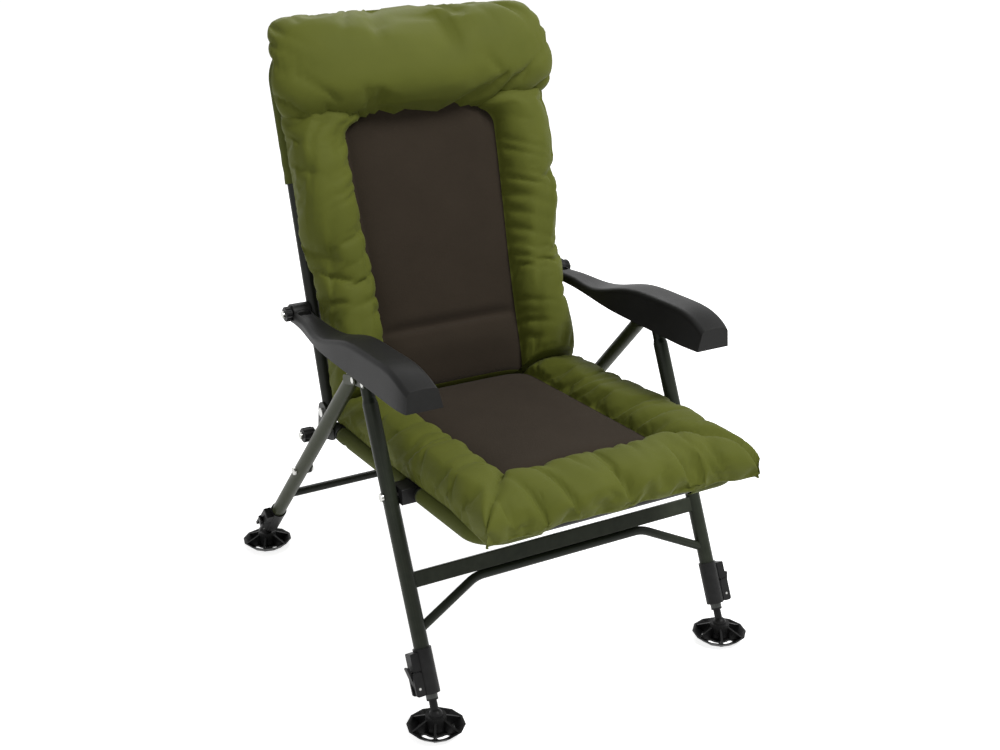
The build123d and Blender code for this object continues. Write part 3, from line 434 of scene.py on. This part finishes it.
node_materials = {
    frame_paint: ["seat_frame", "back_frame", "back_lower_tube", "hinge_bracket_left", "hinge_bracket_right",
                  "hook_plate_left", "hook_plate_right", "arm_bracket_left", "arm_bracket_right",
                  "rear_crossbar"],
    # The front crossbars use this paint, a little lighter than the frame paint, as a painted reflection of
    # their lit flat front faces; on the front legs it is their own colour
    leg_paint: ["front_leg_left", "front_leg_right", "front_leg_ears", "front_crossbar_upper",
                "front_crossbar_lower"],
    rear_leg_paint: ["rear_leg_left", "rear_leg_right", "rear_leg_ears"],
    zinc: ["hinge_pins", "lock_bolts", "arm_bolts", "arm_pins", "leg_bolts", "seat_pivot_bolts", "hook_bolts",
           "front_cam_pins", "rear_cam_pins"],
    arm_plastic: ["armrest_left", "armrest_right"],
    drawn_steel: ["front_inner_leg_left", "front_inner_leg_right", "rear_inner_leg_left",
                  "rear_inner_leg_right"],
}
for material, names in node_materials.items():
    for name in names:
        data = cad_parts[name].data
        data.materials.clear()
        data.materials.append(material)
painted = {name for names in node_materials.values() for name in names}
for name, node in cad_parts.items():
    if name not in painted:
        node.data.materials.clear()
        node.data.materials.append(black_plastic)


def pad_columns(panel_count, bolster_count):
    """Shares across a pad: down the left bolster to its seam, across the panel and up the right bolster."""
    bolster = np.linspace(0.0, 1.0, bolster_count)
    side = np.ones(bolster_count - 1)
    across = np.concatenate([-side, np.linspace(-1.0, 1.0, panel_count), side])
    share = np.concatenate([bolster[:0:-1], np.zeros(panel_count), bolster[1:]])
    return across, share


def back_pad():
    """Back cushion: two bolsters and a fleece panel with a lumbar seam, carried up the back.
    Across, each section is bolster, seam, crowned panel, seam, bolster; its run starts at the fold plane."""
    across, share = pad_columns(49, 36)
    rows = 112
    level = np.linspace(0.0, 1.0, rows)[:, None] * np.ones_like(across)
    across = np.ones((rows, 1)) * across
    share = np.ones((rows, 1)) * share
    top_run = 0.512
    run = level * top_run
    half = 0.240 + 0.012 * smooth(run, 0.23, 0.32)
    corner = 0.034
    bend = np.clip((run - 0.456) / corner, 0.0, 0.99)
    panel_half = 0.136 + 0.012 * smooth(run, 0.09, 0.5) - corner * (1.0 - np.sqrt(1.0 - bend ** 2))
    crest = 0.077 + 0.004 * np.sin(run * 21.0)
    seam_height = 0.034
    offset, rise = bolster_arc(share, half - panel_half, crest, seam_height, tuck=0.012)
    panel = share <= 0.0
    lumbar = np.exp(-((run - 0.108) / 0.009) ** 2)
    swell = 0.011 * (1.0 - np.abs(across) ** 6) * (1.0 - 0.9 * lumbar)
    swell += 0.006 * np.exp(-((run - 0.062) / 0.03) ** 2) * (1.0 - across ** 4)
    rise = np.where(panel, seam_height + swell, rise)
    near_seam = np.exp(-share / 0.20) * (share > 0)
    near_side = np.exp(-((share - 0.66) / 0.20) ** 2)
    left = across < 0
    lean = run + 0.10 * share
    dents = side_gathers(left, lean, count=24, low=0.02, high=0.5, depth=0.007, width=0.006, sharp=1.3)
    folds = side_gathers(left, run - 0.12 * share,
                         count=13, low=0.03, high=0.5, depth=0.007, width=0.009, sharp=1.4)
    left_folds = gathers(share + 1.1 * run, count=5, low=0.3, high=1.2, depth=0.006, width=0.035)
    right_folds = gathers(share - 0.9 * run, count=5, low=0.1, high=0.8, depth=0.006, width=0.035)
    long_folds = np.where(left, left_folds, right_folds)
    creases = dents * near_seam + 0.7 * folds * near_side + long_folds * np.sin(math.pi * share)
    rise -= np.where(panel, 0.0, creases)
    rise -= 0.008 * np.exp(-run / 0.014) * (1.0 - share)
    rise = np.maximum(rise, LOW_SIDE * np.minimum(1.0, (1.0 - share) / 0.2))
    x = np.where(panel, across * panel_half, np.sign(across) * (panel_half + offset))
    fold = mitre_run(rise + PAD_BASE, HINGE, BACK_UP, BACK_FRONT) + FOLD_GAP
    slant = fold + (top_run - fold) * level
    top = on_back(x, slant, rise + PAD_BASE)
    foot = x[:, :1] + (x[:, -1:] - x[:, :1]) * np.linspace(0.0, 1.0, x.shape[1])
    flat = np.zeros_like(rise)
    low_fold = mitre_run(flat + PAD_BASE, HINGE, BACK_UP, BACK_FRONT) + FOLD_GAP
    bottom = on_back(foot, low_fold + (top_run - low_fold) * level, flat + PAD_BASE)
    held = panel | (share > 0.97) | (level < 0.012) | (level > 0.99)
    faces = panel[:-1, :-1] & panel[:-1, 1:]
    place = np.stack([x + np.sign(across) * share * SIDE_CLOTH, run, np.zeros_like(x)], -1)
    points, quads, index, marks = pad_shell(top, bottom, faces, held, place)
    piece = make_piece("back_cushion", points, quads, [canvas, fleece], index, marks=marks)
    puff(piece, pressure=2.5, spare=0.05, cap=0.009)
    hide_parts("back_pad")
    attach(piece, "back")
    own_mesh(piece)


def seat_pad():
    """Seat cushion: side bolsters and a front roll round a fleece panel, with mitred corners.
    The height at a point follows whichever of its side share and front share is larger."""
    across, share = pad_columns(49, 36)
    front_count, panel_rows = 40, 84
    front_share = np.concatenate([np.linspace(1.0, 0.0, front_count), np.zeros(panel_rows)])[:, None]
    level = np.concatenate([np.zeros(front_count), np.linspace(0.0, 1.0, panel_rows + 1)[1:]])[:, None]
    rows = len(level)
    across = np.ones((rows, 1)) * across
    share = np.ones((rows, 1)) * share
    front_share = front_share * np.ones_like(share)
    level = level * np.ones_like(share)
    panel_front, front_reach = 0.086, 0.126

    wave_phase = draws.uniform(0.0, 6.0, 2)

    def droop(at_run, at_x):
        """Sag of the front roll below the rails, growing towards its wavy front edge."""
        ahead = np.clip((panel_front - at_run) / front_reach, 0.0, 1.0)
        wave = np.sin(at_x * 47.0 + wave_phase[0]) + 0.7 * np.sin(at_x * 89.0 + wave_phase[1])
        return 0.010 * ahead ** 1.5 + 0.0032 * wave * ahead ** 4

    half = 0.248 - 0.007 * smooth(level, 0.4, 1.0)
    panel_half = 0.142
    crest, seam_height = 0.056, 0.026
    offset, _ = bolster_arc(share, half - panel_half, crest, seam_height, 0.012 * (1.0 - front_share))
    forward, _ = bolster_arc(front_share, front_reach, crest, seam_height, 0.014 * (1.0 - share))
    _, rise = bolster_arc(np.maximum(share, front_share), 1.0, crest, seam_height, 0.0)
    panel = (share <= 0.0) & (front_share <= 0.0)
    rough_length = 0.41
    run_guess = panel_front - forward + level * rough_length
    swell = 0.010 * (1.0 - np.abs(across) ** 6) * (1.0 - (1.0 - smooth(level, 0.0, 0.12)) ** 3)
    rise = np.where(panel, seam_height + swell, rise)
    x = np.where(share <= 0.0, across * panel_half, np.sign(across) * (panel_half + offset))
    larger = np.maximum(share, front_share)
    near_seam = np.exp(-larger / 0.24) * (larger > 0)
    near_side = np.exp(-((larger - 0.64) / 0.20) ** 2)
    sides = share >= front_share
    left = across < 0
    side_dents = side_gathers(left, run_guess + 0.09 * share,
                              count=18, low=0.05, high=0.48, depth=0.009, width=0.007, sharp=1.3)
    side_folds = side_gathers(left, run_guess - 0.05 * share,
                              count=10, low=0.0, high=0.48, depth=0.010, width=0.010, sharp=1.4)
    roll_dents = gathers(x + 0.05 * front_share * np.sign(x),
                         count=16, low=-0.2, high=0.2, depth=0.016, width=0.008, sharp=1.3)
    roll_folds = gathers(x - 0.04 * front_share,
                         count=12, low=-0.24, high=0.24, depth=0.026, width=0.009, sharp=1.2)
    dents = np.where(sides, side_dents * near_seam + 0.6 * side_folds * near_side,
                     roll_dents * near_seam + 0.8 * roll_folds * near_side)
    smaller = np.minimum(share, front_share)
    mitre = np.exp(-np.abs((share - front_share) / 0.035) ** 1.5) * smooth(smaller, 0.0, 0.12)
    rise -= np.where(panel, 0.0, dents + 0.011 * mitre * smooth(larger, 1.0, 0.8))
    rise -= 0.007 * np.exp(-(1.0 - level) / 0.03) * (1.0 - share)
    rise = np.maximum(rise, LOW_SIDE * np.minimum(1.0, (1.0 - larger) / 0.2))
    fold = mitre_run(rise + PAD_BASE, SEAT_FRONT, SEAT_REAR, SEAT_UP) - FOLD_GAP
    run = panel_front - forward + (fold - panel_front) * level
    top = on_seat(x, run, rise + PAD_BASE - droop(run, x))
    foot = np.clip(x, x[:, :1], x[:, -1:])
    low_run = np.maximum(run[:, :1], run[:1, :])
    bottom = on_seat(foot, low_run, PAD_BASE - droop(low_run, foot))
    held = panel | (larger > 0.97) | (level > 0.985)
    faces = panel[:-1, :-1] & panel[:-1, 1:] & panel[1:, :-1]
    cloth_x = x + np.sign(across) * share * SIDE_CLOTH
    place = np.stack([cloth_x, run - front_share * SIDE_CLOTH, np.zeros_like(x)], -1)
    points, quads, index, marks = pad_shell(top, bottom, faces, held, place)
    piece = make_piece("seat_cushion", points, quads, [canvas, fleece], index, marks=marks)
    puff(piece, pressure=2.5, spare=0.06, cap=0.009)
    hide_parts("seat_pad")
    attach(piece, "seat")
    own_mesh(piece)


def head_pillow():
    """Headrest pillow: a D-shaped section, fullest low down, carried across and drawn in at its ends.
    Each section is a superellipse in run and height on a flat back, scaled by one in distance across."""
    rows, columns = 128, 84
    swing = np.linspace(-math.pi / 2, math.pi / 2, rows)[:, None]
    turn = np.linspace(-math.pi, math.pi, columns, endpoint=False)[None, :]
    half = 0.264
    x = half * np.sign(np.sin(swing)) * np.abs(np.sin(swing)) ** 0.5 * np.ones_like(turn)
    end = np.maximum(np.abs(np.cos(swing)) ** 0.17, 0.02)
    thin = np.abs(np.cos(swing)) ** 0.45
    middle, span, height = 0.587, 0.095, 0.104
    wave = np.sin(turn)
    reach = np.cos(turn)
    run = middle + span * end * np.sign(wave) * np.abs(wave) ** 0.72
    front = reach > 0
    full = height * thin * np.abs(reach) ** 0.62 * (1.0 - 0.26 * smooth(wave, -0.35, 1.0))
    back_bulge = -0.016 * smooth(run, 0.655, 0.685) * end
    tall = np.where(front, full, back_bulge * np.abs(reach) ** 0.5)
    low_edge = np.exp(-((wave + 0.95) / 0.35) ** 2) * front
    top_edge = np.exp(-((wave - 0.8) / 0.4) ** 2) * front
    corner = smooth(np.abs(x), 0.15, 0.25)
    tall -= low_edge * gathers(x * (1.0 - 0.3 * wave),
                               count=14, low=-0.25, high=0.25, depth=0.004, width=0.012, sharp=1.6)
    tall -= top_edge * gathers(x * (1.0 + 0.3 * wave),
                               count=14, low=-0.26, high=0.26, depth=0.012, width=0.010, sharp=1.3)
    slope = np.abs(x) * 0.8 - (run - middle)
    corner_dents = gathers(slope, count=5, low=0.06, high=0.3, depth=0.012, width=0.009, sharp=1.3)
    tall -= corner_dents * corner * front * np.abs(reach)
    tall = np.where(front, np.maximum(tall, 0.3 * full), tall)
    x = x * (0.885 + 0.145 * smooth(tall, -0.01, 0.07))
    spot = on_back(x, run, tall + PAD_BASE)
    faces = grid_faces(rows, columns, closed=True)
    held = ((np.abs(swing) > 1.5) | (~front) | (np.abs(wave + 1.0) < 0.02)) * np.ones_like(turn)
    place = np.stack([x, run + np.abs(tall), np.zeros_like(x)], -1)
    piece = make_piece("head_pillow", spot, faces, [canvas], weld=2e-5,
                       marks={"held": held.ravel(), "cloth_place": place.reshape(-1, 3)})
    work = bmesh.new()
    work.from_mesh(piece.data)
    bmesh.ops.holes_fill(work, edges=[edge for edge in work.edges if edge.is_boundary])
    bmesh.ops.recalc_face_normals(work, faces=work.faces)
    work.to_mesh(piece.data)
    work.free()
    puff(piece, pressure=2.0, spare=0.07, cap=0.010)
    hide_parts("headrest")
    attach(piece, "back")


def frame_curve(low, high, half, bend, count):
    """Bent tube line of a U-shaped frame, up one side and down the other, with its outward directions."""
    side = np.linspace(low, high - bend, count)
    turn = np.linspace(0.0, math.pi / 2, count // 2)
    across = np.linspace(half - bend, 0.0, count // 2)
    x = np.concatenate([np.full(count, half), half - bend + bend * np.cos(turn), across])
    run = np.concatenate([side, high - bend + bend * np.sin(turn), np.full(count // 2, high)])
    out_x = np.concatenate([np.ones(count), np.cos(turn), np.zeros(count // 2)])
    out_run = np.concatenate([np.zeros(count), np.sin(turn), np.ones(count // 2)])
    x = np.concatenate([x, -x[-2::-1]])
    run = np.concatenate([run, run[-2::-1]])
    out_x = np.concatenate([out_x, -out_x[-2::-1]])
    out_run = np.concatenate([out_run, out_run[-2::-1]])
    return x, run, out_x, out_run


def sleeve_points(curve, face, wrap, spine_low, spine_high, sag):
    """Cloth stretched on a frame: from the middle line out over one face to the tube, then round its outside.
    The face part runs straight from the middle to the tube; the wrap is an arc about the tube's line."""
    x, run, out_x, out_run = (values[:, None] for values in curve)
    inward = np.linspace(0.0, 1.0, 24)[None, :-1]
    spine = np.clip(run, spine_low, spine_high)
    flat_x = x * inward
    flat_run = spine + (run - spine) * inward
    flat_height = face * (SLEEVE_RADIUS - sag * (1.0 - inward ** 2) * np.ones_like(run))
    turn = np.linspace(math.pi / 2, math.pi / 2 - wrap, 22)[None, :]
    wrap_x = x + out_x * SLEEVE_RADIUS * np.cos(turn)
    wrap_run = run + out_run * SLEEVE_RADIUS * np.cos(turn)
    wrap_height = face * SLEEVE_RADIUS * np.sin(turn) * np.ones_like(run)
    return (np.concatenate([flat_x, wrap_x], 1), np.concatenate([flat_run, wrap_run], 1),
            np.concatenate([flat_height, wrap_height], 1), flat_x.shape[1])


def thicken(piece):
    """Give a sheet its thickness, on its outer side."""
    wall = piece.modifiers.new("cloth thickness", "SOLIDIFY")
    wall.thickness = CLOTH_THICKNESS
    wall.offset = 1.0


def back_sleeve():
    """Cloth hood over the top of the back frame, with a flat rear panel."""
    low_run = 0.40
    curve = frame_curve(low_run, 0.632, FRAME_HALF, bend=0.060, count=40)
    x, run, height, _ = sleeve_points(curve, face=-1.0, wrap=math.radians(205.0),
                                      spine_low=low_run, spine_high=0.56, sag=0.0015)
    ripple = 0.0012 * np.sin(run * 190.0 + 4.0 * np.sin(x * 17.0)) * smooth(0.47 - run, -0.05, 0.06)
    spot = on_back(x, run, height + ripple)
    piece = make_piece("back_sleeve", spot, grid_faces(*x.shape), [sling_cloth], weld=2e-5)
    thicken(piece)
    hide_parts("back_sling")
    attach(piece, "back")


def seat_deck():
    """Cloth deck over the seat frame, cut out round the saddles, the rear tube and the front bar's middle."""
    length = 0.490
    curve = frame_curve(0.0, length, FRAME_HALF, bend=0.045, count=60)
    x, back, height, flat_columns = sleeve_points(curve, face=1.0, wrap=math.radians(225.0),
                                                  spine_low=0.05, spine_high=0.47, sag=0.004)
    run = length - back
    spot = on_seat(x, run, height)
    faces = grid_faces(*x.shape)
    middle = spot.reshape(-1, 3)[faces].mean(1)
    column = faces[:, 0] % x.shape[1]
    along = (middle - SEAT_FRONT) @ SEAT_REAR
    saddle_run, saddle_half, saddle_inner = 0.217, 0.026, 0.206
    saddle = (np.abs(along - saddle_run) < saddle_half) & (np.abs(middle[:, 0]) > saddle_inner)
    bar_half, bar_reach = 0.14, 0.012
    bar = (np.abs(middle[:, 0]) < bar_half) & (along < bar_reach) & (column >= flat_columns - 1)
    tube_run, tube_half = 0.464, 0.012
    tube = (np.abs(along - tube_run) < tube_half) & (column > flat_columns + 9)
    piece = make_piece("seat_deck", spot, faces[~(saddle | bar | tube)], [sling_cloth], weld=2e-5)
    thicken(piece)
    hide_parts("seat_sling")
    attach(piece, "seat")


back_pad()
seat_pad()
head_pillow()
back_sleeve()
seat_deck()


def seen_share(tree, lighting, seen):
    """Strength of one value where the camera sees it, straight, in gloss or through, and another as light."""
    path = tree.nodes.new("ShaderNodeLightPath")
    sight = math_node(tree, "ADD", path.outputs["Is Camera Ray"], path.outputs["Is Glossy Ray"])
    sight = math_node(tree, "ADD", sight, path.outputs["Is Transmission Ray"])
    sight = math_node(tree, "MINIMUM", sight, 1.0)
    return math_node(tree, "ADD", math_node(tree, "MULTIPLY", sight, seen - lighting), lighting)


def studio():
    """Pale floor, plain soft lamps and the camera of the photograph."""
    world = bpy.data.worlds.new("soft sky")
    bpy.context.scene.world = world
    world.use_nodes = True
    tree = world.node_tree
    sky = tree.nodes["Background"]
    sky.inputs["Color"].default_value = (1.0, 1.0, 1.0, 1.0)
    link(tree, seen_share(tree, lighting=0.28, seen=1.05), sky.inputs["Strength"])

    extent = 6.0
    corners = extent * np.array([[-1.0, -1.0, 0.0], [1.0, -1.0, 0.0], [1.0, 1.0, 0.0], [-1.0, 1.0, 0.0]])
    mesh = bpy.data.meshes.new("floor")
    mesh.from_pydata(corners.tolist(), [], [[0, 1, 2, 3]])
    floor = bpy.data.objects.new("floor", mesh)
    bpy.context.scene.collection.objects.link(floor)
    material, tree, shader, _ = start_material("pale floor")
    shader.inputs["Base Color"].default_value = (0.92, 0.92, 0.92, 1.0)
    shader.inputs["Roughness"].default_value = 0.8
    shader.inputs["Emission Color"].default_value = (1.0, 1.0, 1.0, 1.0)
    link(tree, seen_share(tree, lighting=0.0, seen=0.8), shader.inputs["Emission Strength"])
    mesh.materials.append(material)

    lamps = (("key", (1.7, -2.3, 4.6), 1.6, 186.0),
             ("fill", (-2.4, -1.2, 1.8), 1.8, 7.0),
             ("rim", (0.9, 2.0, 2.4), 1.4, 22.0))
    target = np.array([0.0, 0.0, 0.5])
    for name, spot, size, power in lamps:
        data = bpy.data.lights.new(name, "AREA")
        data.size = size
        data.energy = power
        lamp = bpy.data.objects.new(name, data)
        bpy.context.scene.collection.objects.link(lamp)
        aim = target - np.array(spot)
        level = math.hypot(aim[0], aim[1])
        lamp.location = spot
        lamp.rotation_euler = (math.atan2(level, -aim[2]), 0.0, math.atan2(aim[1], aim[0]) - math.pi / 2)

    data = bpy.data.cameras.new("camera")
    data.lens = 52.53
    data.sensor_width = 36.0
    camera = bpy.data.objects.new("camera", data)
    bpy.context.scene.collection.objects.link(camera)
    camera.location = (-1.1518, -2.0504, 1.3537)
    down, heading = 21.3476, -29.838
    camera.rotation_euler = (math.radians(90.0 - down), 0.0, math.radians(heading))
    bpy.context.scene.camera = camera
    bpy.context.scene.view_settings.view_transform = "Standard"


studio()
